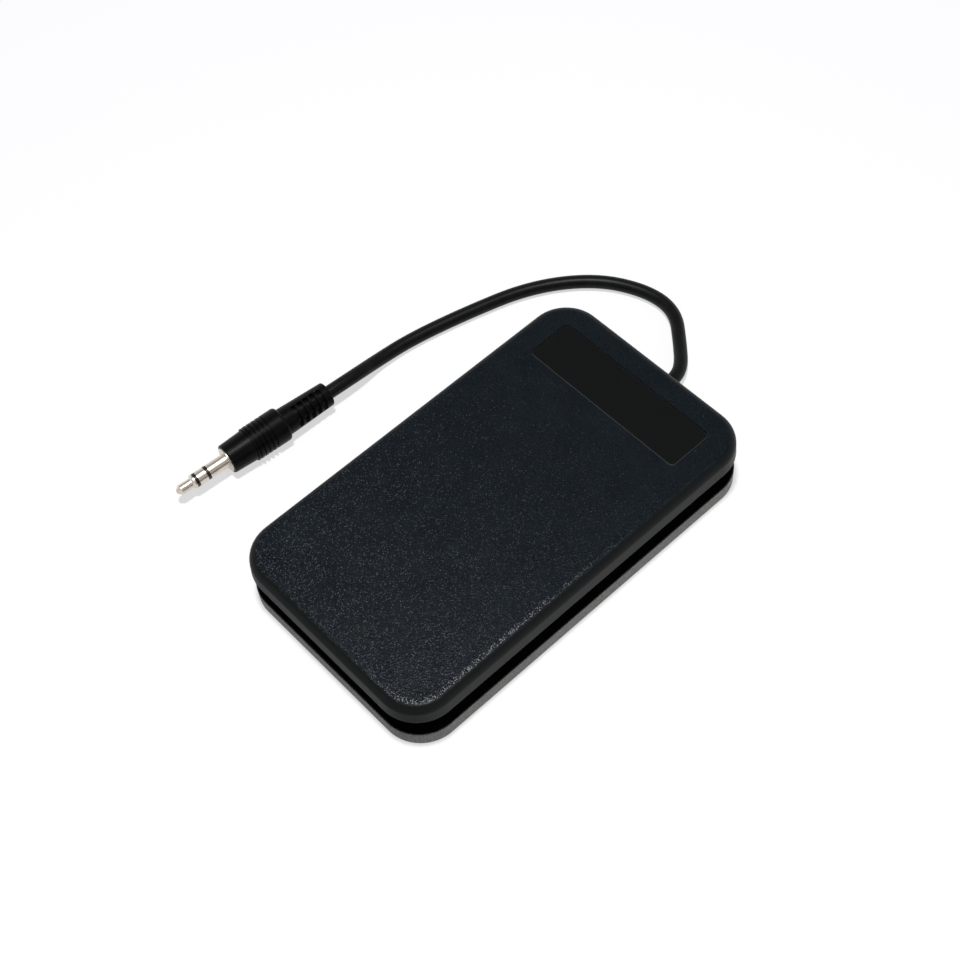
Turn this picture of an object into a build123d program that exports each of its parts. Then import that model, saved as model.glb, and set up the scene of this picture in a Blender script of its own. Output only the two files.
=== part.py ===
from build123d import *
import math
import os

os.makedirs("parts", exist_ok=True)

# Millimetres. X runs across the pedal, Y towards the cord, Z up from the floor.

# Whole pedal
body_length = 103.0
body_width = 60.6
corner_radius = 9.8
cover_top = 15.6
cover_rim = 10.3
base_rim = 4.4
cut_overrun = 1.0
fit_gap = 0.05
seat_gap = 0.15

# Pedal cover, a shell that leans in a little towards its top
cover_wall = 2.2
cover_roof = 2.2
cover_draft = 0.3
cover_edge_round = 2.2
cover_rim_round = 0.3
cover_rib_width = 1.2
cover_rib_depth = 1.4
cover_rib_x = 22.0
cover_rib_end_gap = 16.0

# Bare name plate, let into the cover near its rear edge
plate_width = 45.5
plate_length = 12.0
plate_corner = 1.1
plate_edge_round = 0.2
plate_thickness = 0.5
plate_gap = 0.12
plate_from_rear = 13.1

# Base tray
base_inset = 0.15
tray_wall = 2.0
tray_floor = 1.5
tray_bottom = 0.3
tray_edge_round = 0.35

# Anti-slip pad, glued in a recess under the tray
pad_margin = 3.6
pad_thickness = 0.8
pad_edge_gap = 0.2
pad_groove_count = 8
pad_groove_width = 1.6
pad_groove_depth = 0.25
pad_groove_margin = 8.0

# Foam gasket between the two shells
gasket_inset = 0.42
gasket_wall = 1.8

# Hinge at the rear end
hinge_from_rear = 8.5
hinge_z = 8.4
pin_radius = 1.5
pin_running_gap = 0.06
ear_x = 18.5
ear_width = 4.0
ear_radius = 3.1
knuckle_x = 13.2
knuckle_width = 4.0
knuckle_radius = 3.0
pin_end = 2.2
clip_thickness = 0.5
clip_radius = 2.8
clip_mouth = 1.6
clip_inset = 0.8
pin_groove_radius = 1.05

# Catches that hold the cover's front end down
catch_x = 9.0
catch_width = 6.0
post_from_front = 5.2
post_thickness = 2.2
ledge_z = 7.0
ledge_height = 1.3
ledge_reach = 1.6
hook_gap = 0.35
hook_thickness = 1.6
hook_height = 1.2

# Return springs
spring_x = 16.0
spring_from_front = 17.5
spring_radius = 3.2
spring_wire = 0.8
spring_turns = 5
spring_seat_radius = 2.2
spring_seat_height = 2.2

# Rubber stop bumpers and the posts that meet them
bumper_from_side = 8.3
bumper_from_front = 8.5
bumper_radius = 3.4
bumper_height = 3.0
bumper_round = 0.8
bumper_socket_wall = 0.9
bumper_socket_height = 1.0
stop_post_radius = 2.6
stop_travel = 3.5

# Ballast plate
ballast_width = 42.0
ballast_length = 17.0
ballast_thickness = 2.0
ballast_from_front = 34.0
ballast_screw_x = 16.0
ballast_corner = 2.0

# Small cross-head screws
screw_radius = 1.0
screw_head_radius = 1.9
screw_head_height = 1.2
screw_bite = 0.6
screw_head_round = 0.4
screw_slot_width = 0.5
screw_slot_length = 2.2
screw_slot_depth = 0.6
boss_radius = 2.2

# Switch board
board_width = 17.0
board_length = 24.0
board_thickness = 1.2
board_lift = 0.9
board_screw_inset = 2.4

# Snap switch on the board
case_width = 5.8
case_length = 12.8
case_height = 5.0
case_wall = 0.8
lid_height = 1.5
case_floor = 0.8
case_forward = 0.6
plunger_width = 2.0
plunger_length = 1.4
plunger_foot = 0.9
plunger_gap = 0.08
plunger_round = 0.16
plunger_from_pivot = 3.4
lever_width = 3.6
lever_thickness = 0.3
lever_tail = 0.9
lever_reach = 11.4
lever_tilt = 3.0
lever_play = 0.08
pivot_from_end = 1.6
pivot_rise = 1.0
lever_pin_radius = 0.4
lug_height = 1.7
lug_thickness = 0.7
blade_width = 2.4
blade_thickness = 0.2
blade_end_gap = 1.3
blade_drop = 0.35
contact_radius = 0.6
contact_height = 0.35
terminal_width = 1.6
terminal_thickness = 0.4
terminal_from_end = 1.4
terminal_tail = 0.3
contact_travel = 1.35

# Button under the cover that works the switch lever
button_radius = 2.6
button_nose_radius = 1.4
button_nose_height = 0.5
button_stem_radius = 1.2
button_stem_length = 1.2
button_gap = 0.3
button_from_pivot = 9.6

# Cord and its moulded strain relief
cord_radius = 1.7
exit_z = 2.75
relief_reach = 1.95
relief_neck_width = 4.4
relief_neck_bottom = 0.9
relief_flange_width = 6.4
relief_flange = 0.7
relief_tail_radius = 2.35
relief_tip_radius = 1.95
relief_flange_rise = 0.5
lead_radius = 1.5
lead_end_from_rear = 15.35

# Clamp over the lead
clamp_from_rear = 11.85
clamp_width = 13.0
clamp_length = 4.0
clamp_thickness = 1.2
clamp_screw_x = 4.4
clamp_wall = 1.0

# Wires from the lead to the board
wire_run = 3.6
wire_radius = 0.45
wire_spread = 0.75
wire_fan = 2.0
wire_hump = 0.6
wire_bend_share = 0.35

# Jack plug, measured back from its tip
jack_radius = 1.75
tip_nose_radius = 0.5
tip_cone_length = 1.0
tip_cone_radius = 1.28
tip_neck_radius = 1.2
tip_neck_from = 4.0
tip_end = 4.8
tip_lip = 0.35
ring_end = 7.9
insulator_length = 0.8
jack_length = 13.8
core_radius = 1.0
shoulder_radius = 3.1
shoulder_thickness = 0.2
handle_front_radius = 3.7
handle_front_round = 0.35
handle_radius = 4.0
handle_step = 20.4
grip_radius = 4.35
grip_groove_count = 5
grip_groove_radius = 3.9
grip_groove_width = 0.55
grip_groove_pitch = 1.2
grip_length = 9.7
grip_end_round = 0.8
boot_front_radius = 3.5
boot_end_radius = 3.05
boot_length = 13.1
boot_slot_count = 5
boot_slot_depth = 0.95
boot_slot_width = 1.15
boot_slot_reach = 5.5
boot_slot_pitch = 1.8
boot_slot_turn = 51.0
boot_collar = 1.9
boot_end_round = 0.4

# Free cord, chosen by hand as offsets from the mouth of the strain relief
cord_offsets = [
    (0.0, 0.0, 0.0),
    (0.0, 4.2, 0.0),
    (-1.65, 8.4, -0.3),
    (-6.9, 13.5, -1.0),
    (-14.7, 20.1, -1.0),
    (-24.3, 19.9, -1.0),
    (-36.1, 13.5, -1.0),
    (-45.9, 0.3, -1.0),
    (-51.3, -17.2, -1.0),
    (-54.7, -31.7, -1.0),
    (-55.45, -41.9, -0.7),
    (-54.4, -50.2, 1.65),
    (-54.94, -57.7, 1.65),
]
bend_share = 0.45

# Places worked out from the sizes above
half_length = body_length / 2
tray_top = tray_bottom + tray_floor
roof_under = cover_top - cover_roof
tray_rear = half_length - base_inset
bumper_x = body_width / 2 - bumper_from_side
clamp_y = tray_rear - clamp_from_rear
lead_end_y = tray_rear - lead_end_from_rear
board_centre_y = lead_end_y - wire_run - board_length / 2
terminal_spread = case_length / 2 - terminal_from_end
hinge_y = half_length - hinge_from_rear
pin_half = ear_x + ear_width / 2 + pin_end
clip_x = pin_half - clip_inset - clip_thickness / 2
board_bottom = tray_top + board_lift
board_top = board_bottom + board_thickness
case_top = board_top + case_height
lid_top = case_top + lid_height
case_y = board_centre_y - case_forward
pivot_y = case_y + case_length / 2 - pivot_from_end
pivot_z = lid_top + pivot_rise
plunger_y = pivot_y - plunger_from_pivot
button_y = pivot_y - button_from_pivot
lever_slope = math.tan(math.radians(lever_tilt))
lever_contact_z = pivot_z + lever_thickness / 2 + button_from_pivot * lever_slope


def block(size_x, size_y, bottom, top, x=0.0, y=0.0):
    # Upright box between two heights, centred on x and y
    box = Box(size_x, size_y, top - bottom)
    return Pos(x, y, (bottom + top) / 2) * box


def post(radius, bottom, top, x=0.0, y=0.0):
    # Upright round bar between two heights
    bar = Cylinder(radius, top - bottom)
    return Pos(x, y, (bottom + top) / 2) * bar


def cross_bar(radius, length, x, y, z):
    # Round bar lying along X
    return Pos(x, y, z) * Rot(0, 90, 0) * Cylinder(radius, length)


def lengthways_bar(radius, length, y):
    # Round bar lying along Y on the cord's line
    return Pos(0, y, exit_z) * Rot(90, 0, 0) * Cylinder(radius, length)


def slab(size_x, size_y, radius, bottom, top, x=0.0, y=0.0, taper=0.0):
    # Rounded rectangle drawn up between two heights
    outline = Pos(x, y, bottom) * RectangleRounded(size_x, size_y, radius)
    return extrude(outline, amount=top - bottom, taper=taper)


def turned(outline):
    # Solid turned about Z from (radius, height) points
    points = [(radius, 0, height) for radius, height in outline]
    face = make_face(Polyline(*points, close=True))
    return revolve(face, axis=Axis.Z)


def both_sides(make, x):
    return [make(-x), make(x)]


def top_edges(solid, height):
    # Edges that lie level at one height
    found = []
    for edge in solid.edges():
        box = edge.bounding_box()
        if abs(box.min.Z - height) < fit_gap and abs(box.max.Z - height) < fit_gap:
            found.append(edge)
    return found


def screw(x, y, seat, reach):
    # Pan-head screw whose head sits on seat and whose shank ends at reach
    head = post(screw_head_radius, seat, seat + screw_head_height, x, y)
    head = fillet(top_edges(head, seat + screw_head_height), screw_head_round)
    shank = post(screw_radius, reach, seat, x, y)
    slot_top = seat + screw_head_height + cut_overrun
    slot_bottom = seat + screw_head_height - screw_slot_depth
    slot = block(screw_slot_length, screw_slot_width, slot_bottom, slot_top, x, y)
    cross = block(screw_slot_width, screw_slot_length, slot_bottom, slot_top, x, y)
    return head + shank - slot - cross


def screw_hole(x, y, top, reach):
    return post(screw_radius + fit_gap, reach - fit_gap, top + cut_overrun, x, y)


def pedal_cover():
    wall_height = cover_top - cover_rim
    lean = math.degrees(math.atan(cover_draft / wall_height))
    shell = slab(body_width, body_length, corner_radius, cover_rim, cover_top, taper=lean)
    shell = fillet(top_edges(shell, cover_top), cover_edge_round)
    shell = fillet(top_edges(shell, cover_rim), cover_rim_round)
    hollow = slab(
        body_width - 2 * cover_wall,
        body_length - 2 * cover_wall,
        corner_radius - cover_wall,
        cover_rim - cut_overrun,
        roof_under,
        taper=lean,
    )
    shell -= hollow
    recess = slab(
        plate_width + 2 * plate_gap,
        plate_length + 2 * plate_gap,
        plate_corner + plate_gap,
        cover_top - plate_thickness,
        cover_top + cut_overrun,
        y=half_length - plate_from_rear,
    )
    shell -= recess
    # Stiffening ribs under the roof
    rib_length = body_length - 2 * cover_rib_end_gap
    for x in (-cover_rib_x, cover_rib_x):
        shell += block(cover_rib_width, rib_length, roof_under - cover_rib_depth, roof_under, x)
    # Hinge knuckles
    for x in (-knuckle_x, knuckle_x):
        web = block(knuckle_width, 2 * knuckle_radius, hinge_z, roof_under, x, hinge_y)
        shell += web + cross_bar(knuckle_radius, knuckle_width, x, hinge_y, hinge_z)
    shell -= cross_bar(pin_radius + pin_running_gap, 2 * pin_half, 0, hinge_y, hinge_z)
    # Seats inside the springs, and posts over the bumpers
    spring_y = spring_from_front - half_length
    for x in (-spring_x, spring_x):
        shell += post(spring_seat_radius, roof_under - spring_seat_height, roof_under, x, spring_y)
    stop_bottom = tray_top + bumper_height + stop_travel
    for x in (-bumper_x, bumper_x):
        shell += post(stop_post_radius, stop_bottom, roof_under, x, bumper_from_front - half_length)
    # Hooks that catch under the tray's ledges
    post_face = post_from_front + post_thickness - half_length
    hook_y = post_face + ledge_reach + hook_gap + hook_thickness / 2
    barb_top = ledge_z - hook_gap
    barb_bottom = barb_top - hook_height
    barb_reach = ledge_reach + hook_gap + hook_thickness / 2 - hook_gap
    for x in (-catch_x, catch_x):
        shell += block(catch_width, hook_thickness, barb_bottom, roof_under, x, hook_y)
        barb_y = hook_y - barb_reach / 2
        shell += block(catch_width, barb_reach, barb_bottom, barb_top, x, barb_y)
    # Hole for the stem of the button
    stem_top = roof_under + button_stem_length
    shell -= post(button_stem_radius + fit_gap, roof_under - cut_overrun, stem_top, 0, button_y)
    return shell


def name_plate():
    bottom = cover_top - plate_thickness
    y = half_length - plate_from_rear
    plate = slab(plate_width, plate_length, plate_corner, bottom + fit_gap, cover_top, y=y)
    return fillet(top_edges(plate, cover_top), plate_edge_round)


def tray_outline(bottom, top, inset, taper=0.0):
    return slab(
        body_width - 2 * inset,
        body_length - 2 * inset,
        corner_radius - inset,
        bottom,
        top,
        taper=taper,
    )


def base_tray():
    tray = tray_outline(tray_bottom, base_rim, base_inset)
    tray = fillet(top_edges(tray, tray_bottom), tray_edge_round)
    tray -= tray_outline(tray_top, base_rim + cut_overrun, base_inset + tray_wall)
    tray -= tray_outline(tray_bottom - cut_overrun, pad_thickness, base_inset + pad_margin)
    # Ears for the hinge pin
    for x in (-ear_x, ear_x):
        web = block(ear_width, 2 * ear_radius, tray_top, hinge_z, x, hinge_y)
        tray += web + cross_bar(ear_radius, ear_width, x, hinge_y, hinge_z)
    tray -= cross_bar(pin_radius + fit_gap, 2 * pin_half, 0, hinge_y, hinge_z)
    # Posts with a ledge for the cover's hooks
    post_y = post_from_front + post_thickness / 2 - half_length
    ledge_y = post_y + ledge_reach / 2
    ledge_top = ledge_z + ledge_height
    for x in (-catch_x, catch_x):
        ledge_length = post_thickness + ledge_reach
        tray += block(catch_width, post_thickness, tray_top, ledge_top, x, post_y)
        tray += block(catch_width, ledge_length, ledge_z, ledge_top, x, ledge_y)
    # Seats inside the springs
    spring_y = spring_from_front - half_length
    for x in (-spring_x, spring_x):
        tray += post(spring_seat_radius, tray_top, tray_top + spring_seat_height, x, spring_y)
    # Sockets round the bumpers
    socket_top = tray_top + bumper_socket_height
    for x in (-bumper_x, bumper_x):
        y = bumper_from_front - half_length
        ring = post(bumper_radius + fit_gap + bumper_socket_wall, tray_top, socket_top, x, y)
        tray += ring - post(bumper_radius + fit_gap, tray_top, socket_top, x, y)
    # Bosses for the board and the clamp
    for x, y in board_screw_places():
        tray += post(boss_radius, tray_top, board_bottom, x, y)
        tray -= screw_hole(x, y, board_bottom, tray_top - screw_bite)
    for x in (-clamp_screw_x, clamp_screw_x):
        tray += post(boss_radius, tray_top, clamp_seat(), x, clamp_y)
        tray -= screw_hole(x, clamp_y, clamp_seat(), tray_top - screw_bite)
    for x in (-ballast_screw_x, ballast_screw_x):
        tray -= screw_hole(x, ballast_y(), tray_top, tray_top - screw_bite)
    tray -= relief_notch()
    tray -= lead_groove()
    return tray


def relief_notch():
    # Slot for the strain relief through the rear wall, open at the rim
    middle = tray_rear - tray_wall / 2
    depth = tray_wall + 2 * cut_overrun
    top = base_rim + cut_overrun
    return block(relief_neck_width, depth, relief_neck_bottom, top, 0, middle)


def lead_groove():
    # Channel in the floor that the lead lies in
    length = tray_rear - tray_wall - lead_end_y + cut_overrun
    return lengthways_bar(lead_radius + fit_gap, length, lead_end_y + length / 2)


def board_screw_places():
    x = board_width / 2 - board_screw_inset
    y = board_length / 2 - board_screw_inset
    return [(i * x, board_centre_y + j * y) for i in (-1, 1) for j in (-1, 1)]


def clamp_seat():
    return exit_z + clamp_wall / 2


def ballast_y():
    return ballast_from_front - half_length


def rubber_pad():
    inset = base_inset + pad_margin + pad_edge_gap
    pad = tray_outline(0, pad_thickness, inset)
    # Shallow grooves across the sole
    groove_length = body_width - 2 * pad_groove_margin
    step = (body_length - 2 * pad_groove_margin) / pad_groove_count
    for i in range(pad_groove_count):
        y = (i - (pad_groove_count - 1) / 2) * step
        pad -= block(groove_length, pad_groove_width, -cut_overrun, pad_groove_depth, 0, y)
    return pad


def edge_gasket():
    ring = tray_outline(base_rim, cover_rim, gasket_inset)
    low = base_rim - cut_overrun
    high = cover_rim + cut_overrun
    return ring - tray_outline(low, high, gasket_inset + gasket_wall)


def hinge_pin():
    pin = cross_bar(pin_radius, 2 * pin_half, 0, hinge_y, hinge_z)
    for x in (-clip_x, clip_x):
        groove_width = clip_thickness + 2 * fit_gap
        groove = cross_bar(pin_radius + cut_overrun, groove_width, x, hinge_y, hinge_z)
        groove -= cross_bar(pin_groove_radius, groove_width + cut_overrun, x, hinge_y, hinge_z)
        pin -= groove
    return pin


def pin_clip(x):
    clip = cross_bar(clip_radius, clip_thickness, x, hinge_y, hinge_z)
    bore_radius = pin_groove_radius + fit_gap
    clip -= cross_bar(bore_radius, clip_thickness + cut_overrun, x, hinge_y, hinge_z)
    mouth_top = hinge_z + clip_radius + cut_overrun
    return clip - block(clip_thickness + cut_overrun, clip_mouth, hinge_z, mouth_top, x, hinge_y)


def return_spring(x):
    low = tray_top + seat_gap + spring_wire / 2
    high = roof_under - seat_gap - spring_wire / 2
    path = Helix((high - low) / spring_turns, high - low, spring_radius)
    section = Plane(origin=path @ 0, z_dir=path % 0) * Circle(spring_wire / 2)
    coil = sweep(section, path=path)
    return Pos(x, spring_from_front - half_length, low) * coil


def stop_bumper(x):
    top = tray_top + bumper_height
    bumper = post(bumper_radius, tray_top, top, x, bumper_from_front - half_length)
    return fillet(top_edges(bumper, top), bumper_round)


def ballast_plate():
    plate = slab(
        ballast_width,
        ballast_length,
        ballast_corner,
        tray_top,
        tray_top + ballast_thickness,
        y=ballast_y(),
    )
    for x in (-ballast_screw_x, ballast_screw_x):
        plate -= screw_hole(x, ballast_y(), tray_top + ballast_thickness, tray_top - cut_overrun)
    return plate


def switch_board():
    board = block(board_width, board_length, board_bottom, board_top, 0, board_centre_y)
    for x, y in board_screw_places():
        board -= screw_hole(x, y, board_top, board_bottom - cut_overrun)
    for pin in terminal_pins(fit_gap):
        board -= pin
    return board


def terminal_pins(grow):
    pins = []
    for i in (-1, 0, 1):
        y = case_y + i * terminal_spread
        low = board_bottom - terminal_tail
        high = board_top + case_floor + grow
        size_x = terminal_width + 2 * grow
        size_y = terminal_thickness + 2 * grow
        pins.append(block(size_x, size_y, low, high, 0, y))
    return pins


def switch_case():
    case = block(case_width, case_length, board_top, case_top, 0, case_y)
    inner = block(
        case_width - 2 * case_wall,
        case_length - 2 * case_wall,
        board_top + case_floor,
        case_top + cut_overrun,
        0,
        case_y,
    )
    case -= inner
    for pin in terminal_pins(fit_gap):
        case -= pin
    return case


def switch_lid():
    lid = block(case_width, case_length, case_top, lid_top, 0, case_y)
    lid -= block(
        case_width - 2 * case_wall,
        case_length - 2 * case_wall,
        case_top - cut_overrun,
        lid_top - case_wall,
        0,
        case_y,
    )
    hole_x = plunger_width + 2 * plunger_gap
    hole_y = plunger_length + 2 * plunger_gap
    lid -= block(hole_x, hole_y, case_top, lid_top + cut_overrun, 0, plunger_y)
    # Lugs that carry the lever's pivot
    lug_x = lever_width / 2 + plunger_gap + lug_thickness / 2
    lug_length = 2 * pivot_from_end
    bore_radius = lever_pin_radius + fit_gap
    for x in (-lug_x, lug_x):
        lid += block(lug_thickness, lug_length, lid_top, lid_top + lug_height, x, pivot_y)
        lid -= cross_bar(bore_radius, lug_thickness + fit_gap, x, pivot_y, pivot_z)
    return lid


def switch_plunger():
    lever_rise = plunger_from_pivot * lever_slope
    top = pivot_z - lever_thickness / 2 + lever_rise - lever_play
    stem = block(plunger_width, plunger_length, case_top, top, 0, plunger_y)
    long_edges = stem.edges().filter_by(Axis.X)
    stem = fillet(long_edges.group_by(Axis.Z)[-1], plunger_round)
    foot_top = lid_top - case_wall - plunger_gap
    foot = block(
        plunger_width + plunger_foot,
        plunger_length + plunger_foot,
        foot_top - plunger_foot / 2,
        foot_top,
        0,
        plunger_y,
    )
    return stem + foot


def switch_lever():
    length = lever_reach + lever_tail
    middle = pivot_y - lever_reach + length / 2
    half = lever_thickness / 2
    strip = block(lever_width, length, pivot_z - half, pivot_z + half, 0, middle)
    strip = strip.rotate(Axis((0, pivot_y, pivot_z), (1, 0, 0)), -lever_tilt)
    pin_length = lever_width + 2 * plunger_gap + 2 * lug_thickness
    return strip + cross_bar(lever_pin_radius, pin_length, 0, pivot_y, pivot_z)


def blade_z():
    foot_bottom = lid_top - case_wall - plunger_gap - plunger_foot / 2
    return min(foot_bottom, case_top) - blade_drop - blade_thickness / 2


def blade_pivot_y():
    return case_y + case_length / 2 - case_wall - blade_end_gap / 2


def blade_length():
    return case_length - 2 * case_wall - blade_end_gap


def snap_blade():
    length = blade_length()
    middle = blade_pivot_y() - length / 2
    z = blade_z()
    blade = block(blade_width, length, z - blade_thickness / 2, z + blade_thickness / 2, 0, middle)
    tip_y = blade_pivot_y() - length + contact_radius
    return blade + post(contact_radius, z - contact_height, z + blade_thickness / 2, 0, tip_y)


def switch_terminals():
    # The rear one holds the blade's root, the front one stands under its contact
    pins = terminal_pins(0)
    front_y = blade_pivot_y() - blade_length() + contact_radius
    front_top = blade_z() - contact_height - contact_travel
    rear_y = blade_pivot_y() - terminal_thickness / 2
    rear_top = blade_z() - blade_thickness / 2 - seat_gap
    pins[0] += terminal_arm(case_y - terminal_spread, front_y, front_top)
    pins[2] += terminal_arm(case_y + terminal_spread, rear_y, rear_top)
    return pins


def terminal_arm(from_y, to_y, top):
    # Foot along the case's floor with an upright at its far end
    base = board_top + case_floor
    span = abs(to_y - from_y) + terminal_thickness
    middle = (from_y + to_y) / 2
    foot = block(terminal_width, span, base, base + terminal_thickness, 0, middle)
    return foot + block(terminal_width, terminal_thickness, base, top, 0, to_y)


def actuator_button():
    nose_bottom = lever_contact_z + button_gap
    nose_top = nose_bottom + button_nose_height
    nose = post(button_nose_radius, nose_bottom, nose_top, 0, button_y)
    nose = fillet(top_edges(nose, nose_bottom), button_nose_height / 2)
    disc = post(button_radius, nose_top, roof_under, 0, button_y)
    stem = post(button_stem_radius, roof_under, roof_under + button_stem_length - fit_gap, 0, button_y)
    return nose + disc + stem


def strain_relief():
    wall_in = tray_rear - tray_wall
    neck_width = relief_neck_width - 2 * fit_gap
    neck_bottom = relief_neck_bottom + fit_gap
    neck = block(neck_width, tray_wall, neck_bottom, base_rim, 0, tray_rear - tray_wall / 2)
    inner_y = wall_in - relief_flange / 2
    inner = block(relief_flange_width, relief_flange, tray_top, base_rim, 0, inner_y)
    outer_y = tray_rear + relief_flange / 2
    outer_top = base_rim + relief_flange_rise
    outer = block(relief_flange_width, relief_flange, relief_neck_bottom, outer_top, 0, outer_y)
    tail_length = relief_reach - relief_flange
    tail = Cone(relief_tail_radius, relief_tip_radius, tail_length)
    tail_y = tray_rear + relief_flange + tail_length / 2
    tail = Pos(0, tail_y, exit_z) * Rot(-90, 0, 0) * tail
    bore_length = tray_wall + relief_flange + relief_reach + 2 * cut_overrun
    bore_y = tray_rear + relief_reach + cut_overrun - bore_length / 2
    bore = lengthways_bar(lead_radius + fit_gap, bore_length, bore_y)
    return neck + inner + outer + tail - bore


def mouth():
    # Where the free cord begins
    return Vector(0, tray_rear + relief_reach, exit_z)


def inner_lead():
    length = mouth().Y - lead_end_y
    return lengthways_bar(lead_radius, length, lead_end_y + length / 2)


def cord_clamp():
    seat = clamp_seat()
    top = seat + clamp_thickness
    bar = block(clamp_width, clamp_length, seat, top, 0, clamp_y)
    bore_radius = lead_radius + fit_gap
    arch = lengthways_bar(bore_radius + clamp_wall, clamp_length, clamp_y)
    arch -= block(clamp_width, clamp_length + cut_overrun, 0, seat, 0, clamp_y)
    bore = lengthways_bar(bore_radius, clamp_length + cut_overrun, clamp_y)
    clamp = bar + arch - bore
    for x in (-clamp_screw_x, clamp_screw_x):
        clamp -= screw_hole(x, clamp_y, top, seat - cut_overrun)
    return clamp


def lead_wire(side):
    # Thin wire from the end of the lead up to a pad on the board
    board_rear = board_centre_y + board_length / 2
    pad_y = board_rear - board_screw_inset
    pad_z = board_top + wire_radius + fit_gap
    bend = (lead_end_y - board_rear) * wire_bend_share
    near = side * wire_spread
    far = side * wire_fan
    points = [
        (near, lead_end_y, exit_z),
        (near, lead_end_y - bend, exit_z),
        ((near + far) / 2, board_rear + bend, pad_z + wire_hump),
        (far, board_rear - bend, pad_z + wire_hump),
        (far, pad_y, pad_z),
    ]
    return tube(points, wire_radius)


def bend_radii(points):
    # Each bend is as large as its two runs allow
    radii = []
    for before, here, after in zip(points, points[1:], points[2:]):
        run_in = Vector(*here) - Vector(*before)
        run_out = Vector(*after) - Vector(*here)
        half_turn = math.radians(run_in.get_angle(run_out)) / 2
        radii.append(bend_share * min(run_in.length, run_out.length) / math.tan(half_turn))
    return radii


def tube(points, radius):
    path = FilletPolyline(*points, radius=bend_radii(points))
    section = Plane(origin=path @ 0, z_dir=path % 0) * Circle(radius)
    return sweep(section, path=path)


def cord_points():
    start = mouth()
    return [tuple(start + Vector(*offset)) for offset in cord_offsets]


def cord():
    points = cord_points()
    radii = bend_radii(points)
    print("cord radii", [round(radius, 1) for radius in radii])
    path = FilletPolyline(*points, radius=radii)
    solid = tube(points, cord_radius)
    print("cord length", round(path.length, 1))
    full_volume = math.pi * cord_radius**2 * path.length
    print("cord volume over section times length", round(solid.volume / full_volume, 4))
    return solid


def on_plug(solid):
    # Places a solid turned about Z on the plug's axis, its zero at the plug's tip
    points = cord_points()
    end = Vector(*points[-1])
    ahead = (end - Vector(*points[-2])).normalized()
    tip = end + ahead * plug_length()
    side = Vector(0, 0, 1).cross(ahead)
    return Plane(origin=tip, x_dir=side, z_dir=ahead * -1) * solid


def handle_start():
    return jack_length + shoulder_thickness


def boot_start():
    return handle_step + grip_length


def plug_length():
    return boot_start() + boot_length


def plug_tip():
    outline = [
        (0, 0),
        (tip_nose_radius, 0),
        (tip_cone_radius, tip_cone_length),
        (tip_neck_radius, tip_neck_from),
        (jack_radius, tip_end - tip_lip),
        (jack_radius, tip_end),
        (0, tip_end),
    ]
    return on_plug(turned(outline))


def sleeve_part(outer, inner, low, high):
    return turned([(inner, low), (outer, low), (outer, high), (inner, high)])


def plug_ring():
    low = tip_end + insulator_length
    return on_plug(sleeve_part(jack_radius, core_radius, low, ring_end))


def plug_insulators():
    first = sleeve_part(jack_radius, core_radius, tip_end, tip_end + insulator_length)
    second = sleeve_part(jack_radius, core_radius, ring_end, ring_end + insulator_length)
    return [on_plug(first), on_plug(second)]


def plug_core():
    outline = [(0, tip_end), (core_radius, tip_end), (core_radius, handle_step), (0, handle_step)]
    return on_plug(turned(outline))


def plug_sleeve():
    low = ring_end + insulator_length
    outline = [
        (core_radius, low),
        (jack_radius, low),
        (jack_radius, jack_length),
        (shoulder_radius, jack_length),
        (shoulder_radius, handle_start()),
        (core_radius, handle_start()),
    ]
    return on_plug(turned(outline))


def plug_handle():
    start = handle_start()
    end = boot_start()
    outline = [
        (core_radius, start),
        (handle_front_radius, start),
        (handle_radius, handle_step),
        (grip_radius, handle_step),
        (grip_radius, end),
        (0, end),
        (0, handle_step),
        (core_radius, handle_step),
    ]
    handle = turned(outline)
    front_edge = max(top_edges(handle, start), key=lambda edge: edge.radius)
    handle = fillet(front_edge, handle_front_round)
    handle = fillet(top_edges(handle, end), grip_end_round)
    for i in range(grip_groove_count):
        low = handle_step + grip_groove_width / 2 + i * grip_groove_pitch
        handle -= sleeve_part(grip_radius + cut_overrun, grip_groove_radius, low, low + grip_groove_width)
    return on_plug(handle)


def plug_boot():
    start = boot_start()
    end = plug_length()
    boot = turned([(0, start), (boot_front_radius, start), (boot_end_radius, end), (0, end)])
    boot = fillet(top_edges(boot, end), boot_end_round)
    # Slots on two sides, with a spine left between them
    for i in range(boot_slot_count):
        low = end - boot_collar - (i + 1) * boot_slot_pitch + boot_slot_width / 2
        high = low + boot_slot_width
        share = (low - start) / boot_length
        floor_radius = boot_front_radius + (boot_end_radius - boot_front_radius) * share - boot_slot_depth
        ring = sleeve_part(boot_front_radius + cut_overrun, floor_radius, low, high)
        ring = ring & block(boot_slot_reach, 2 * (boot_front_radius + cut_overrun), low, high)
        boot -= Rot(0, 0, boot_slot_turn) * ring
    return on_plug(boot)


def write(name, made):
    # One file for each kind of piece
    if isinstance(made, list):
        made = Compound(children=[piece.solids()[0] for piece in made])
    export_step(made, "parts/" + name + ".step")
    print(name, round(made.volume, 1))


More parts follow.
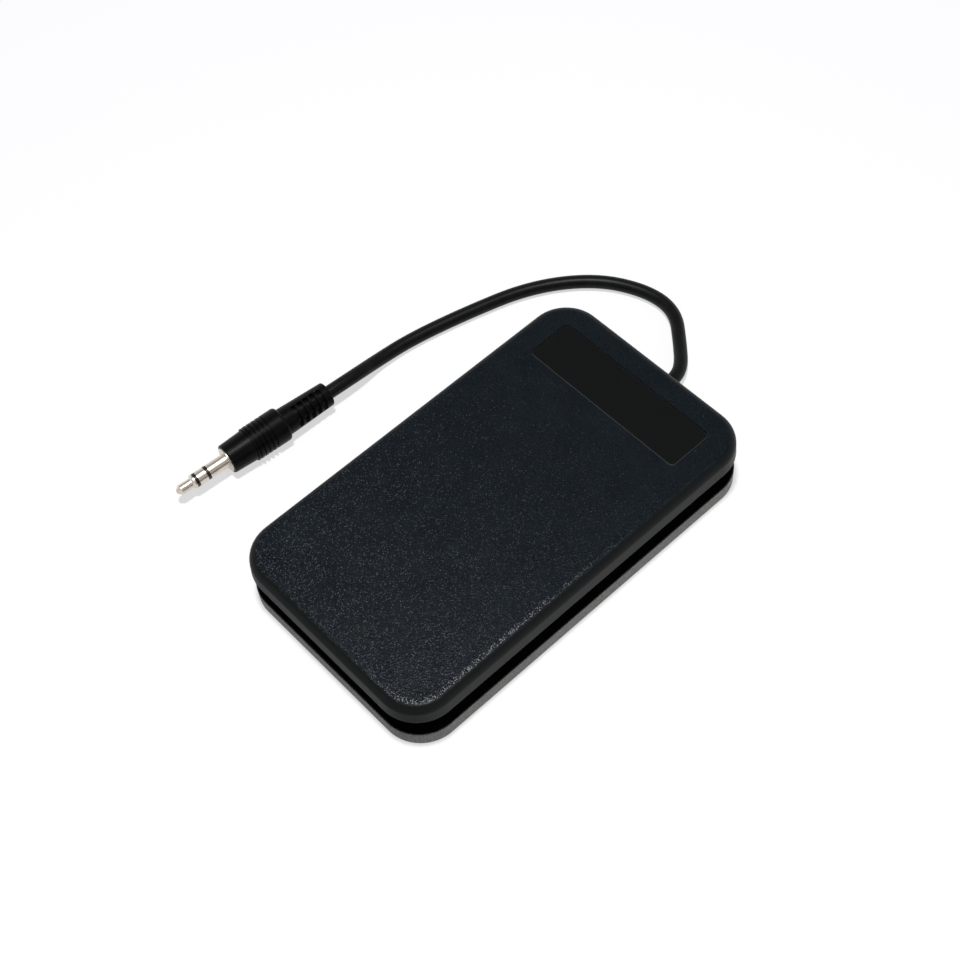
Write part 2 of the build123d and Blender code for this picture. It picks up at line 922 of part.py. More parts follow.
pieces = {
    "pedal_cover": pedal_cover(),
    "name_plate": name_plate(),
    "base_tray": base_tray(),
    "rubber_pad": rubber_pad(),
    "edge_gasket": edge_gasket(),
    "hinge_pin": hinge_pin(),
    "pin_clips": both_sides(pin_clip, clip_x),
    "return_spring_left": return_spring(-spring_x),
    "return_spring_right": return_spring(spring_x),
    "stop_bumpers": both_sides(stop_bumper, bumper_x),
    "ballast_plate": ballast_plate(),
    "ballast_screws": both_sides(
        lambda x: screw(x, ballast_y(), tray_top + ballast_thickness, tray_top - screw_bite),
        ballast_screw_x,
    ),
    "switch_board": switch_board(),
    "board_screws": [screw(x, y, board_top, tray_top - screw_bite) for x, y in board_screw_places()],
    "switch_case": switch_case(),
    "switch_lid": switch_lid(),
    "switch_plunger": switch_plunger(),
    "switch_lever": switch_lever(),
    "snap_blade": snap_blade(),
    "switch_terminals": switch_terminals(),
    "actuator_button": actuator_button(),
    "strain_relief": strain_relief(),
    "inner_lead": inner_lead(),
    "lead_wires": both_sides(lead_wire, 1),
    "cord_clamp": cord_clamp(),
    "clamp_screws": both_sides(
        lambda x: screw(x, clamp_y, clamp_seat() + clamp_thickness, tray_top - screw_bite),
        clamp_screw_x,
    ),
    "cord": cord(),
    "plug_tip": plug_tip(),
    "plug_ring": plug_ring(),
    "plug_sleeve": plug_sleeve(),
    "plug_insulators": plug_insulators(),
    "plug_core": plug_core(),
    "plug_handle": plug_handle(),
    "plug_boot": plug_boot(),
}
for name, made in pieces.items():
    write(name, made)
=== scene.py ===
import math

import bmesh
import bpy
from mathutils import Matrix, Vector


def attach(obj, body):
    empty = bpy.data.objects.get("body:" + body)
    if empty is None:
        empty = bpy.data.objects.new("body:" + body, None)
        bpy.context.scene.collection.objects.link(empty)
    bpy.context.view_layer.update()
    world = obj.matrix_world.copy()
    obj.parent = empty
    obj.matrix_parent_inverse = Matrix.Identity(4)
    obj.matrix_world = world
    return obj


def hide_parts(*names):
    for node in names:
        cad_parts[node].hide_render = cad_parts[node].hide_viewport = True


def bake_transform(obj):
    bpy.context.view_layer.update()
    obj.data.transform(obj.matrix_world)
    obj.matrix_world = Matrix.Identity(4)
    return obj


mm = 0.001

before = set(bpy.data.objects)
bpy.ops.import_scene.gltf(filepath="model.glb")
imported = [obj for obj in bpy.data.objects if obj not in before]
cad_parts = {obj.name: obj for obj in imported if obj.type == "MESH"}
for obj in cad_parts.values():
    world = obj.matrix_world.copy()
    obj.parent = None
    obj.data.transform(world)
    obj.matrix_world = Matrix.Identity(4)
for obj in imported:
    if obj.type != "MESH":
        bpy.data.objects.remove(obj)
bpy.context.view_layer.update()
print("frame loaded")


def addNode(tree, kind, inputs=None, **settings):
    # a shader node with its options and sockets set in one go
    node = tree.nodes.new(kind)
    for key, value in settings.items():
        setattr(node, key, value)
    for key, value in (inputs or {}).items():
        socket = node.inputs[key]
        if isinstance(value, bpy.types.NodeSocket):
            tree.links.new(value, socket)
        else:
            socket.default_value = value
    return node


def addPiece(name, bm, finish):
    # closes off a bmesh as an object at the origin
    mesh = bpy.data.meshes.new(name)
    bmesh.ops.recalc_face_normals(bm, faces=bm.faces)
    bm.to_mesh(mesh)
    bm.free()
    piece = bpy.data.objects.new(name, mesh)
    bpy.context.scene.collection.objects.link(piece)
    mesh.materials.append(finish)
    return piece


def shadeSmooth(piece, angle):
    # round surfaces smooth, corners over the angle stay crisp
    mesh = piece.data
    for polygon in mesh.polygons:
        polygon.use_smooth = True
    bm = bmesh.new()
    bm.from_mesh(mesh)
    for edge in bm.edges:
        if len(edge.link_faces) == 2 and edge.calc_face_angle(0) > angle:
            edge.smooth = False
    bm.to_mesh(mesh)
    bm.free()


def repaint(finish, *nodeNames):
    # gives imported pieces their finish
    for nodeName in nodeNames:
        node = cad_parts[nodeName]
        for materialSlot in node.material_slots:
            materialSlot.material = finish


def newFinish(name):
    material = bpy.data.materials.new(name)
    material.use_nodes = True
    tree = material.node_tree
    tree.nodes.clear()
    shader = addNode(tree, "ShaderNodeBsdfPrincipled")
    addNode(tree, "ShaderNodeOutputMaterial", {"Surface": shader.outputs[0]})
    return material, tree, shader


def setShader(shader, look):
    # fixed numbers go straight on the shader's sockets
    for key, socket in shaderSockets.items():
        if key in look:
            shader.inputs[socket].default_value = look[key]


def patternAt(tree, size, detail=2.0, rough=0.5):
    # noise whose blotches are about one size across
    place = addNode(tree, "ShaderNodeTexCoord")
    return addNode(tree, "ShaderNodeTexNoise", {
        "Vector": place.outputs["Object"],
        "Scale": 1 / size,
        "Detail": detail,
        "Roughness": rough,
    })


def cellsAt(tree, size, feature="F1"):
    place = addNode(tree, "ShaderNodeTexCoord")
    return addNode(tree, "ShaderNodeTexVoronoi", {
        "Vector": place.outputs["Object"],
        "Scale": 1 / size,
    }, feature=feature)


def rampOf(tree, value, stops):
    # colour ramp from (place, grey or colour) stops
    ramp = addNode(tree, "ShaderNodeValToRGB", {"Fac": value})
    elements = ramp.color_ramp.elements
    while len(elements) < len(stops):
        elements.new(1.0)
    for element, (place, shade) in zip(elements, stops):
        element.position = place
        if isinstance(shade, (int, float)):
            shade = (shade, shade, shade)
        element.color = (*shade, 1.0)
    return ramp.outputs["Color"]


def rangeOf(tree, value, low, high, fromLow, fromHigh):
    # a smooth change from one value to another between two places
    return addNode(tree, "ShaderNodeMapRange", {
        "Value": value,
        "From Min": fromLow,
        "From Max": fromHigh,
        "To Min": low,
        "To Max": high,
    }).outputs["Result"]


def mathOf(tree, operation, first, second, **settings):
    inputs = {0: first, 1: second}
    return addNode(tree, "ShaderNodeMath", inputs, operation=operation, **settings).outputs[0]


def vectorOf(tree, operation, *values):
    return addNode(tree, "ShaderNodeVectorMath", dict(enumerate(values)), operation=operation)


def mixShaders(tree, share, first, second):
    inputs = {0: share, 1: first.outputs[0], 2: second.outputs[0]}
    return addNode(tree, "ShaderNodeMixShader", inputs).outputs[0]


def mixColours(tree, factor, first, second, blend="MIX"):
    mix = addNode(tree, "ShaderNodeMix", data_type="RGBA", blend_type=blend)
    sockets = [s for s in mix.inputs if s.type == "RGBA"]
    for socket, value in zip([mix.inputs[0], *sockets], [factor, first, second]):
        if isinstance(value, bpy.types.NodeSocket):
            tree.links.new(value, socket)
        elif socket.type == "RGBA":
            socket.default_value = (*value, 1.0)
        else:
            socket.default_value = value
    return [s for s in mix.outputs if s.type == "RGBA"][0]


def bumpOf(tree, height, depth, strength=1.0, under=None):
    inputs = {"Height": height, "Distance": depth, "Strength": strength}
    if under is not None:
        inputs["Normal"] = under
    return addNode(tree, "ShaderNodeBump", inputs).outputs["Normal"]


shaderSockets = {
    "roughness": "Roughness",
    "metallic": "Metallic",
    "specular": "Specular IOR Level",
}


camera = {
    "azimuth": 52.18,
    "elevation": 56.02,
    "roll": -6.04,
    "lens": 66.168,
    "sensor": 36.0,
    "distance": 410.51 * mm,
    "aim": (-13.138 * mm, 6.307 * mm, 0.0),
    "near": 10 * mm,
    "far": 10.0,
}


def setCamera(look):
    azimuth = math.radians(look["azimuth"])
    elevation = math.radians(look["elevation"])
    roll = math.radians(look["roll"])
    back = Vector((
        math.sin(azimuth) * math.cos(elevation),
        -math.cos(azimuth) * math.cos(elevation),
        math.sin(elevation),
    ))
    right = (-back).cross(Vector((0, 0, 1))).normalized()
    up = back.cross(right)
    turnedRight = right * math.cos(roll) + up * math.sin(roll)
    turnedUp = up * math.cos(roll) - right * math.sin(roll)
    data = bpy.data.cameras.new("photoCamera")
    data.lens = look["lens"]
    data.sensor_width = look["sensor"]
    data.clip_start = look["near"]
    data.clip_end = look["far"]
    holder = bpy.data.objects.new("photoCamera", data)
    turn = Matrix((turnedRight, turnedUp, back)).transposed().to_4x4()
    holder.matrix_world = Matrix.Translation(Vector(look["aim"]) + back * look["distance"]) @ turn
    bpy.context.scene.collection.objects.link(holder)
    bpy.context.scene.camera = holder


setCamera(camera)
print("camera set")


cordVinyl = {
    "base": (0.003, 0.0032, 0.0036),
    "worn": (0.0055, 0.0058, 0.0064),
    "roughness": 0.4,
    "specular": 0.12,
    "mottle": 3.0 * mm,
    "peel": 0.5 * mm,
    "peelDepth": 0.02 * mm,
}


def makeVinyl(name, look):
    # moulded soft vinyl, semi-gloss with a little orange peel
    material, tree, shader = newFinish(name)
    setShader(shader, look)
    mottle = patternAt(tree, look["mottle"], 3.0)
    patchy = rampOf(tree, mottle.outputs[0], [(0.35, 0.0), (0.7, 1.0)])
    tone = mixColours(tree, patchy, look["base"], look["worn"])
    # painted highlight: below the given heights the colour turns to a lighter tone, a light line along
    # a bevelled edge
    if "edge" in look:
        place = addNode(tree, "ShaderNodeTexCoord")
        axes = addNode(tree, "ShaderNodeSeparateXYZ", {0: place.outputs["Object"]})
        edge = rangeOf(tree, axes.outputs["Z"], 1.0, 0.0, *look["edge"])
        tone = mixColours(tree, edge, tone, look["edgeHighlight"])
    tree.links.new(tone, shader.inputs["Base Color"])
    peel = patternAt(tree, look["peel"], 2.0)
    tree.links.new(bumpOf(tree, peel.outputs[0], look["peelDepth"]), shader.inputs["Normal"])
    return material


# Route, millimetres
cordRoute = {
    "exit": (0.0, 53.3, 2.75),
    "offsets": [
        (0.0, 0.0, 0.0),
        (0.0, 4.2, 0.0),
        (-1.65, 8.4, -0.3),
        (-6.9, 13.5, -1.0),
        (-14.7, 20.1, -1.0),
        (-24.3, 19.9, -1.0),
        (-36.1, 13.5, -1.0),
        (-45.9, 0.3, -1.0),
        (-51.3, -17.2, -1.0),
        (-54.7, -31.7, -1.0),
        (-55.45, -41.9, -0.7),
        (-54.4, -50.2, 1.65),
        (-54.94, -57.7, 1.65),
    ],
    "radius": 1.7 * mm,
    "length": 0.124,
    "rings": 12,
    "sides": 8,
}


def makeCord(route, finish):
    curve = bpy.data.curves.new("leadCord", "CURVE")
    curve.dimensions = "3D"
    spline = curve.splines.new("NURBS")
    spline.points.add(len(route["offsets"]) - 1)
    start = Vector(route["exit"])
    for point, offset in zip(spline.points, route["offsets"]):
        point.co = (*((start + Vector(offset)) * mm), 1.0)
    spline.order_u = 3
    spline.use_endpoint_u = True
    spline.resolution_u = route["rings"]
    curve.bevel_depth = route["radius"]
    curve.bevel_resolution = route["sides"]
    curve.use_fill_caps = True
    curve.materials.append(finish)
    piece = bpy.data.objects.new("leadCord", curve)
    bpy.context.scene.collection.objects.link(piece)
    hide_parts("cord")
    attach(piece, "base")


cordFinish = makeVinyl("cordVinyl", cordVinyl)
makeCord(cordRoute, cordFinish)
repaint(cordFinish, "cord", "strain_relief", "inner_lead")
print("cord laid")


coverPlastic = {
    "sideBelow": 15.4 * mm,
    "topAbove": 15.54 * mm,
    "side": (0.0056, 0.0064, 0.0064),
    "pit": (0.0018, 0.0032, 0.0045),
    "face": (0.012, 0.0172, 0.0215),
    "sideRoughness": 0.42,
    "topRoughness": 0.21,
    "sideSpecular": 0.1,
    "topSpecular": 0.09,
    "sideGrain": 0.08,
    "pebble": 0.36 * mm,
    "pebbleDepth": 0.072 * mm,
    "fine": 0.19 * mm,
    "fineDepth": 0.045 * mm,
    "pitBelow": 0.41,
    "faceAbove": 0.6,
    "mottle": 7.0 * mm,
    "mottleLow": 0.8,
    # painted glints: bright specks in the base colour, denser to the front and in a band at the
    # right-hand front rim, where the light fell
    "speck": 0.35 * mm,
    "speckReach": 0.46,
    "speckSharpness": 2.1,
    "lengthways": (-50.0 * mm, 40.0 * mm),
    "frontCut": 0.36,
    "rearCut": 0.83,
    "glintTone": (0.145, 0.163, 0.186),
    # painted highlight: a band of brighter, denser glints along the right-hand front rim
    "rimCentre": (20.5 * mm, 41.7 * mm, 1.0),
    "rimInner": (6.6 * mm, 7.2 * mm),
    "rimOuter": (7.75 * mm, 8.1 * mm),
    "rimSide": (10.0 * mm, 25.0 * mm),
    "rimLength": (-25.0 * mm, 12.0 * mm),
    "rimCut": 0.45,
    "rimGlintTone": (0.45, 0.47, 0.5),
}


def makeCoverPlastic(name, look):
    # pebbled top with painted glints, bright specks denser to the front and in a painted highlight
    # band at the right rim; satin sides
    material, tree, shader = newFinish(name)
    place = addNode(tree, "ShaderNodeTexCoord")
    axes = addNode(tree, "ShaderNodeSeparateXYZ", {0: place.outputs["Object"]})

    def byHeight(side, top):
        return rangeOf(tree, axes.outputs["Z"], side, top, look["sideBelow"], look["topAbove"])

    fine = patternAt(tree, look["fine"], 3.0, 0.6)
    raised = rampOf(tree, fine.outputs[0], [(look["pitBelow"], 0.0), (look["faceAbove"], 1.0)])
    tone = mixColours(tree, raised, look["pit"], look["face"])
    mottle = patternAt(tree, look["mottle"], 2.0)
    patchy = rampOf(tree, mottle.outputs[0], [(0.3, look["mottleLow"]), (0.7, 1.0)])
    tone = mixColours(tree, 1.0, tone, patchy, "MULTIPLY")
    # painted glints: bright specks in the base colour stand in for light caught by the grain
    speck = cellsAt(tree, look["speck"])
    near = rampOf(tree, speck.outputs["Distance"], [(0.0, 1.0), (look["speckReach"], 0.0)])
    # painted highlight: more glints towards the front, fewer to the rear
    cut = rangeOf(tree, axes.outputs["Y"], look["frontCut"], look["rearCut"], *look["lengthways"])
    # painted highlight: a band of brighter, denser glints along the right-hand front rim, where the
    # rounding begins
    beside = vectorOf(tree, "ABSOLUTE", place.outputs["Object"]).outputs[0]
    beside = vectorOf(tree, "SUBTRACT", beside, look["rimCentre"]).outputs[0]
    beside = vectorOf(tree, "MAXIMUM", beside, (0.0, 0.0, 0.0)).outputs[0]
    reach = vectorOf(tree, "LENGTH", beside).outputs["Value"]
    rim = rangeOf(tree, axes.outputs["Y"], 1.0, 0.0, *look["rimLength"])
    rim = rangeOf(tree, axes.outputs["X"], 0.0, rim, *look["rimSide"])
    rim = rangeOf(tree, reach, 0.0, rim, *look["rimInner"])
    rim = rangeOf(tree, reach, rim, 0.0, *look["rimOuter"])
    cut = mathOf(tree, "SUBTRACT", cut, mathOf(tree, "MULTIPLY", rim, look["rimCut"]))
    above = mathOf(tree, "SUBTRACT", speck.outputs["Color"], cut)
    chosen = mathOf(tree, "MULTIPLY", above, look["speckSharpness"], use_clamp=True)
    glint = mixColours(tree, chosen, (0.0, 0.0, 0.0), near)
    glintTone = mixColours(tree, rim, look["glintTone"], look["rimGlintTone"])
    tone = mixColours(tree, glint, tone, glintTone)
    tone = mixColours(tree, byHeight(0.0, 1.0), look["side"], tone)
    tree.links.new(tone, shader.inputs["Base Color"])
    tree.links.new(byHeight(look["sideRoughness"], look["topRoughness"]), shader.inputs["Roughness"])
    shine = byHeight(look["sideSpecular"], look["topSpecular"])
    tree.links.new(shine, shader.inputs["Specular IOR Level"])
    pebble = cellsAt(tree, look["pebble"], "SMOOTH_F1")
    depth = byHeight(look["sideGrain"], 1.0)
    relief = bumpOf(tree, pebble.outputs["Distance"], look["pebbleDepth"], depth)
    relief = bumpOf(tree, fine.outputs[0], look["fineDepth"], depth, relief)
    tree.links.new(relief, shader.inputs["Normal"])
    return material


repaint(makeCoverPlastic("coverPlastic", coverPlastic), "pedal_cover")
print("cover finished")


platePlastic = {
    "base": (0.0042, 0.0046, 0.0046),
    "worn": (0.0052, 0.0056, 0.0056),
    "roughness": 0.34,
    "specular": 0.1,
    "mottle": 14.0 * mm,
    "peel": 2.5 * mm,
    "peelDepth": 0.006 * mm,
    # painted highlight on the plate's bevelled edge
    "edge": (15.5 * mm, 15.58 * mm),
    "edgeHighlight": (0.09, 0.095, 0.095),
}

repaint(makeVinyl("platePlastic", platePlastic), "name_plate")
print("plate finished")


trayPlastic = {
    "pit": (0.05, 0.053, 0.045),
    "face": (0.19, 0.196, 0.172),
    "roughness": 0.5,
    "specular": 0.3,
    "mottle": 6.0 * mm,
    "mottleLow": 0.88,
    "grain": 0.5 * mm,
    "grainDepth": 0.03 * mm,
    "fine": 0.3 * mm,
    "fineDepth": 0.03 * mm,
    "pitBelow": 0.34,
    "faceAbove": 0.66,
    # painted glints: light specks in the base colour
    "speck": 0.4 * mm,
    "speckReach": 0.35,
    "speckShare": 0.8,
    "glintTone": (0.26, 0.26, 0.24),
}

soleRubber = {
    "base": (0.012, 0.012, 0.012),
    "worn": (0.03, 0.03, 0.029),
    "roughness": 0.82,
    "specular": 0.25,
    "mottle": 5.0 * mm,
    "peel": 0.4 * mm,
    "peelDepth": 0.06 * mm,
}


def makeGrain(name, look):
    # leather-like moulded grain with tiny painted glints, light specks in the base colour where its
    # tops would catch the light
    material, tree, shader = newFinish(name)
    setShader(shader, look)
    cells = cellsAt(tree, look["grain"])
    fine = patternAt(tree, look["fine"], 3.0)
    raised = rampOf(tree, fine.outputs[0], [(look["pitBelow"], 0.0), (look["faceAbove"], 1.0)])
    tone = mixColours(tree, raised, look["pit"], look["face"])
    mottle = patternAt(tree, look["mottle"], 2.0)
    patchy = rampOf(tree, mottle.outputs[0], [(0.3, look["mottleLow"]), (0.7, 1.0)])
    tone = mixColours(tree, 1.0, tone, patchy, "MULTIPLY")
    # painted glints: light specks in the base colour
    speck = cellsAt(tree, look["speck"])
    near = rampOf(tree, speck.outputs["Distance"], [(0.0, 1.0), (look["speckReach"], 0.0)])
    chosen = rampOf(tree, speck.outputs["Color"], [(look["speckShare"], 0.0), (1.0, 1.0)])
    glint = mixColours(tree, 1.0, near, chosen, "MULTIPLY")
    tone = mixColours(tree, glint, tone, look["glintTone"])
    tree.links.new(tone, shader.inputs["Base Color"])
    pebbles = bumpOf(tree, cells.outputs["Distance"], look["grainDepth"], -1.0)
    relief = bumpOf(tree, fine.outputs[0], look["fineDepth"], 1.0, pebbles)
    tree.links.new(relief, shader.inputs["Normal"])
    return material


repaint(makeGrain("trayPlastic", trayPlastic), "base_tray")
soleFinish = makeVinyl("soleRubber", soleRubber)
repaint(soleFinish, "rubber_pad", "stop_bumpers")
print("tray and sole finished")


foamBand = {
    "size": (59.76 * mm, 102.16 * mm),
    "corner": 9.38 * mm,
    "wall": 1.8 * mm,
    "low": 4.4 * mm,
    "high": 10.3 * mm,
    "levels": 6,
    "cornerSteps": 12,
    "crease": math.radians(40),
}

gasketFoam = {
    "base": (0.0006, 0.0006, 0.0006),
    "worn": (0.0014, 0.0014, 0.0014),
    "roughness": 1.0,
    "specular": 0.0,
    "mottle": 1.2 * mm,
    "peel": 0.35 * mm,
    "peelDepth": 0.12 * mm,
}


def makeBand(look, finish):
    bm = bmesh.new()
    halfX, halfY = look["size"][0] / 2, look["size"][1] / 2
    corners = [(-halfX, -halfY), (halfX, -halfY), (halfX, halfY), (-halfX, halfY)]
    rim = [bm.verts.new((x, y, look["low"])) for x, y in corners]
    bm.faces.new(rim)
    bmesh.ops.bevel(
        bm,
        geom=rim,
        offset=look["corner"],
        affect="VERTICES",
        segments=look["cornerSteps"],
        profile=0.5,
        material=-1,
    )
    inner = list(bm.faces)
    inset = {"thickness": look["wall"], "use_boundary": True, "use_even_offset": True}
    bmesh.ops.inset_region(bm, faces=inner, **inset)
    bmesh.ops.delete(bm, geom=inner, context="FACES")
    step = (look["high"] - look["low"]) / look["levels"]
    faces = list(bm.faces)
    for level in range(look["levels"]):
        made = bmesh.ops.extrude_face_region(bm, geom=faces)
        faces = [part for part in made["geom"] if isinstance(part, bmesh.types.BMFace)]
        moved = [part for part in made["geom"] if isinstance(part, bmesh.types.BMVert)]
        bmesh.ops.translate(bm, verts=moved, vec=(0, 0, step))
    piece = addPiece("foamBand", bm, finish)
    shadeSmooth(piece, look["crease"])
    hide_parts("edge_gasket")
    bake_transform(piece)


foamFinish = makeVinyl("gasketFoam", gasketFoam)
repaint(foamFinish, "edge_gasket")
makeBand(foamBand, foamFinish)
print("foam band made")


returnSpring = {
    "places": {"left": -16.0 * mm, "right": 16.0 * mm},
    "y": -34.0 * mm,
    "low": 2.35 * mm,
    "high": 12.85 * mm,
    "radius": 3.2 * mm,
    "wire": 0.4 * mm,
    "turns": 5,
    "stepsPerTurn": 28,
    "sides": 10,
    "crease": math.radians(50),
}

springSteel = {
    "base": (0.42, 0.42, 0.43),
    "worn": (0.55, 0.55, 0.56),
    "metallic": 1.0,
    "roughness": 0.28,
    "mottle": 1.5 * mm,
    "peel": 0.3 * mm,
    "peelDepth": 0.01 * mm,
}


def makeSpring(side, x, look, finish):
    # one ring of wire wound up around the seat
    bm = bmesh.new()
    ring = bmesh.ops.create_circle(bm, segments=look["sides"], radius=look["wire"])["verts"]
    bmesh.ops.rotate(bm, verts=ring, cent=(0, 0, 0), matrix=Matrix.Rotation(math.pi / 2, 3, "X"))
    bmesh.ops.translate(bm, verts=ring, vec=(look["radius"], 0, 0))
    steps = look["turns"] * look["stepsPerTurn"]
    rise = (look["high"] - look["low"]) / steps
    bmesh.ops.spin(
        bm,
        geom=list(bm.verts) + list(bm.edges),
        cent=(0, 0, 0),
        axis=(0, 0, 1),
        dvec=(0, 0, rise),
        angle=2 * math.pi * look["turns"],
        steps=steps,
        use_merge=False,
    )
    bmesh.ops.holes_fill(bm, edges=bm.edges, sides=0)
    bmesh.ops.translate(bm, verts=bm.verts, vec=(x, look["y"], look["low"]))
    piece = addPiece("springWire." + side, bm, finish)
    shadeSmooth(piece, look["crease"])
    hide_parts("return_spring_" + side)
    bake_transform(piece)


springFinish = makeVinyl("springSteel", springSteel)
for side, x in returnSpring["places"].items():
    makeSpring(side, x, returnSpring, springFinish)
print("springs wound")


plugVinyl = {
    "base": (0.0018, 0.0021, 0.0019),
    "worn": (0.0034, 0.0038, 0.0034),
    "roughness": 0.36,
    "specular": 0.065,
    "mottle": 2.5 * mm,
    "peel": 0.4 * mm,
    "peelDepth": 0.02 * mm,
}

jackMetal = {
    "base": (0.63, 0.565, 0.49),
    "worn": (0.73, 0.665, 0.58),
    "metallic": 0.9,
    "roughness": 0.34,
    "mottle": 1.2 * mm,
    "peel": 0.25 * mm,
    "peelDepth": 0.003 * mm,
}

jackRing = {
    "base": (0.004, 0.004, 0.004),
    "worn": (0.008, 0.008, 0.008),
    "roughness": 0.35,
    "specular": 0.4,
    "mottle": 1.0 * mm,
    "peel": 0.3 * mm,
    "peelDepth": 0.01 * mm,
}

plugFinish = makeVinyl("plugVinyl", plugVinyl)
repaint(plugFinish, "plug_handle", "plug_boot")
repaint(makeVinyl("jackMetal", jackMetal), "plug_tip", "plug_ring", "plug_sleeve")
repaint(makeVinyl("jackRing", jackRing), "plug_insulators", "plug_core")
print("plug finished")


plainSteel = {
    "base": (0.5, 0.5, 0.49),
    "worn": (0.62, 0.61, 0.58),
    "metallic": 1.0,
    "roughness": 0.38,
    "mottle": 2.0 * mm,
    "peel": 0.3 * mm,
    "peelDepth": 0.01 * mm,
}

boardLaminate = {
    "base": (0.02, 0.12, 0.04),
    "worn": (0.035, 0.17, 0.06),
    "roughness": 0.3,
    "specular": 0.5,
    "mottle": 2.5 * mm,
    "peel": 0.5 * mm,
    "peelDepth": 0.01 * mm,
}

switchPlastic = {
    "base": (0.012, 0.012, 0.012),
    "worn": (0.022, 0.022, 0.021),
    "roughness": 0.5,
    "specular": 0.4,
    "mottle": 1.5 * mm,
    "peel": 0.3 * mm,
    "peelDepth": 0.02 * mm,
}

contactMetal = {
    "base": (0.66, 0.48, 0.22),
    "worn": (0.78, 0.58, 0.3),
    "metallic": 1.0,
    "roughness": 0.3,
    "mottle": 1.0 * mm,
    "peel": 0.3 * mm,
    "peelDepth": 0.01 * mm,
}

nylonWhite = {
    "base": (0.62, 0.61, 0.56),
    "worn": (0.72, 0.71, 0.66),
    "roughness": 0.45,
    "specular": 0.4,
    "mottle": 2.0 * mm,
    "peel": 0.4 * mm,
    "peelDepth": 0.02 * mm,
}

wirePlastic = {
    "base": (0.42, 0.02, 0.012),
    "worn": (0.52, 0.035, 0.02),
    "roughness": 0.35,
    "specular": 0.45,
    "mottle": 1.5 * mm,
    "peel": 0.3 * mm,
    "peelDepth": 0.01 * mm,
}

screwNodes = ["ballast_screws", "board_screws", "clamp_screws"]
insidePieces = [
    ("plainSteel", plainSteel, ["hinge_pin", "pin_clips", "ballast_plate", *screwNodes]),
    ("boardLaminate", boardLaminate, ["switch_board"]),
    ("switchPlastic", switchPlastic, ["switch_case", "switch_lid"]),
    ("contactMetal", contactMetal, ["snap_blade", "switch_terminals"]),
    ("nylonWhite", nylonWhite, ["switch_plunger", "actuator_button", "cord_clamp"]),
    ("wirePlastic", wirePlastic, ["lead_wires"]),
]

for name, look, nodeNames in insidePieces:
    repaint(makeVinyl(name, look), *nodeNames)
repaint(springFinish, "switch_lever", "return_spring_left", "return_spring_right")
print("inside pieces finished")


studio = {
    "floorSize": 4.0,
    "floorDrop": 0.1 * mm,
    "floorTone": (0.9, 0.9, 0.91),
    "floorWhite": 0.62,
    # painted shade on the floor ahead of the pedal, seen in reflections and bounced light
    "shadeLevel": 0.5,
    "shadeEdge": (-60.0 * mm, -48.0 * mm),
    "shadeSide": (-50.0 * mm, -32.0 * mm),
    "fillLeft": 0.03,
    "fillRight": 0.44,
    "fillTone": (0.88, 0.86, 1.0),
    "overhead": 0.06,
    "domeFrom": 0.3,
    "domeTo": 0.75,
    "keyPlace": (0.02, -0.03, 0.8),
    "keySize": 0.08,
    "keyPower": 6.2,
}


def seenDirectly(tree):
    # 1 for rays from the eye, from a mirror and through glass
    ray = addNode(tree, "ShaderNodeLightPath")
    first = mathOf(tree, "MAXIMUM", ray.outputs["Is Camera Ray"], ray.outputs["Is Glossy Ray"])
    return mathOf(tree, "MAXIMUM", first, ray.outputs["Is Transmission Ray"])


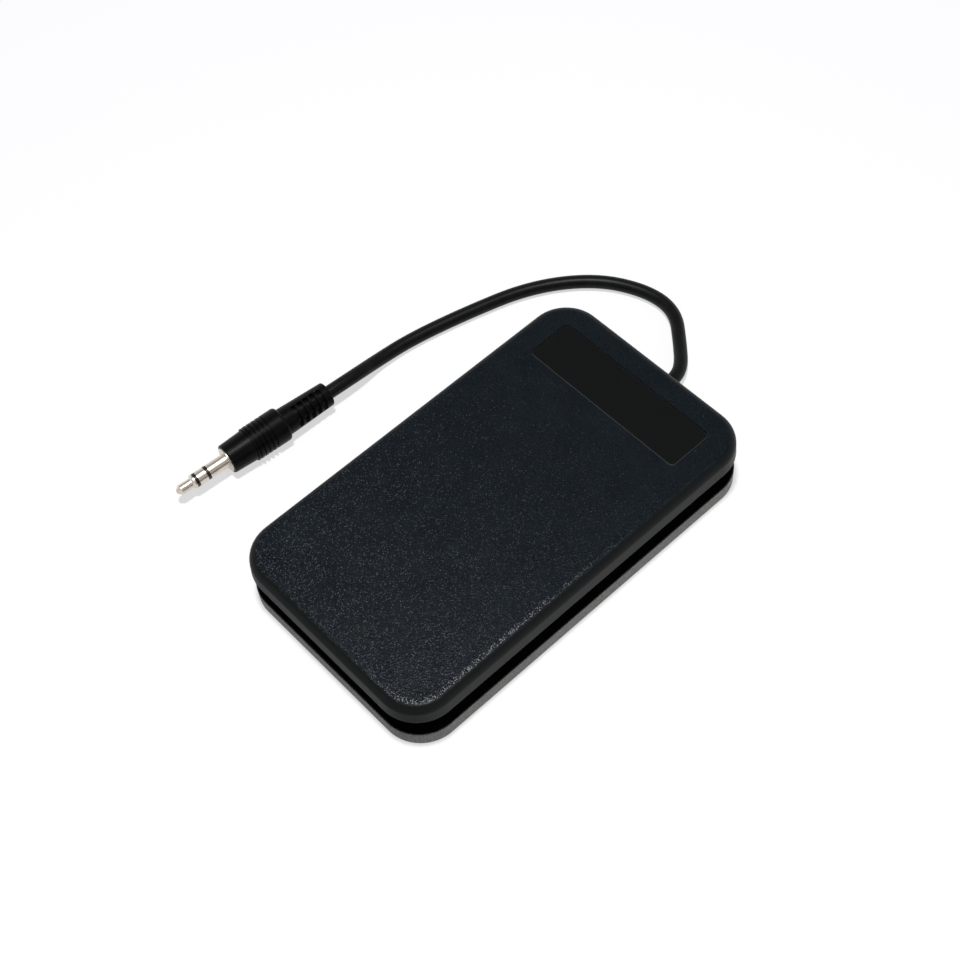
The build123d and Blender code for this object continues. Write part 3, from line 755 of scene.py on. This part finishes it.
def makeFloor(look):
    bm = bmesh.new()
    bmesh.ops.create_grid(bm, x_segments=1, y_segments=1, size=look["floorSize"] / 2)
    bmesh.ops.translate(bm, verts=bm.verts, vec=(0, 0, -look["floorDrop"]))
    mesh = bpy.data.meshes.new("studioFloor")
    bm.to_mesh(mesh)
    bm.free()
    floor = bpy.data.objects.new("studioFloor", mesh)
    bpy.context.scene.collection.objects.link(floor)
    material = bpy.data.materials.new("studioFloor")
    material.use_nodes = True
    tree = material.node_tree
    tree.nodes.clear()
    # painted shade: the floor ahead of the pedal is darker in reflections and bounced light, while the
    # eye sees the floor evenly
    place = addNode(tree, "ShaderNodeTexCoord")
    axes = addNode(tree, "ShaderNodeSeparateXYZ", {0: place.outputs["Object"]})
    floorShade = rangeOf(tree, axes.outputs["Y"], look["shadeLevel"], 1.0, *look["shadeEdge"])
    floorShade = rangeOf(tree, axes.outputs["X"], 1.0, floorShade, *look["shadeSide"])
    ray = addNode(tree, "ShaderNodeLightPath")
    lit = mathOf(tree, "MAXIMUM", floorShade, ray.outputs["Is Camera Ray"])
    sheet = mixColours(tree, 1.0, look["floorTone"], lit, "MULTIPLY")
    paper = addNode(tree, "ShaderNodeBsdfDiffuse", {"Color": sheet})
    white = addNode(tree, "ShaderNodeEmission", {"Color": (1.0, 1.0, 1.0, 1.0), "Strength": lit})
    share = mathOf(tree, "MULTIPLY", seenDirectly(tree), look["floorWhite"])
    addNode(tree, "ShaderNodeOutputMaterial", {"Surface": mixShaders(tree, share, paper, white)})
    mesh.materials.append(material)


def makeWorld(look):
    world = bpy.data.worlds.new("studioWorld")
    bpy.context.scene.world = world
    world.use_nodes = True
    tree = world.node_tree
    tree.nodes.clear()
    place = addNode(tree, "ShaderNodeTexCoord")
    height = addNode(tree, "ShaderNodeSeparateXYZ", {0: place.outputs["Generated"]})
    stops = [(look["domeFrom"], 1.0), (look["domeTo"], look["overhead"])]
    dome = rampOf(tree, height.outputs["Z"], stops)
    side = rangeOf(tree, height.outputs["X"], look["fillLeft"], look["fillRight"], -1.0, 1.0)
    fill = addNode(tree, "ShaderNodeBackground", {"Color": (*look["fillTone"], 1.0), "Strength": side})
    white = addNode(tree, "ShaderNodeBackground", {"Color": dome, "Strength": 1.0})
    both = mixShaders(tree, seenDirectly(tree), fill, white)
    addNode(tree, "ShaderNodeOutputWorld", {"Surface": both})


def makeKey(look):
    data = bpy.data.lights.new("softKey", "AREA")
    data.shape = "DISK"
    data.size = look["keySize"]
    data.energy = look["keyPower"]
    holder = bpy.data.objects.new("softKey", data)
    holder.location = look["keyPlace"]
    aim = Vector(look["keyPlace"])
    holder.rotation_euler = aim.to_track_quat("Z", "Y").to_euler()
    bpy.context.scene.collection.objects.link(holder)


makeFloor(studio)
makeWorld(studio)
makeKey(studio)
bpy.context.scene.view_settings.view_transform = "Standard"
print("studio ready")
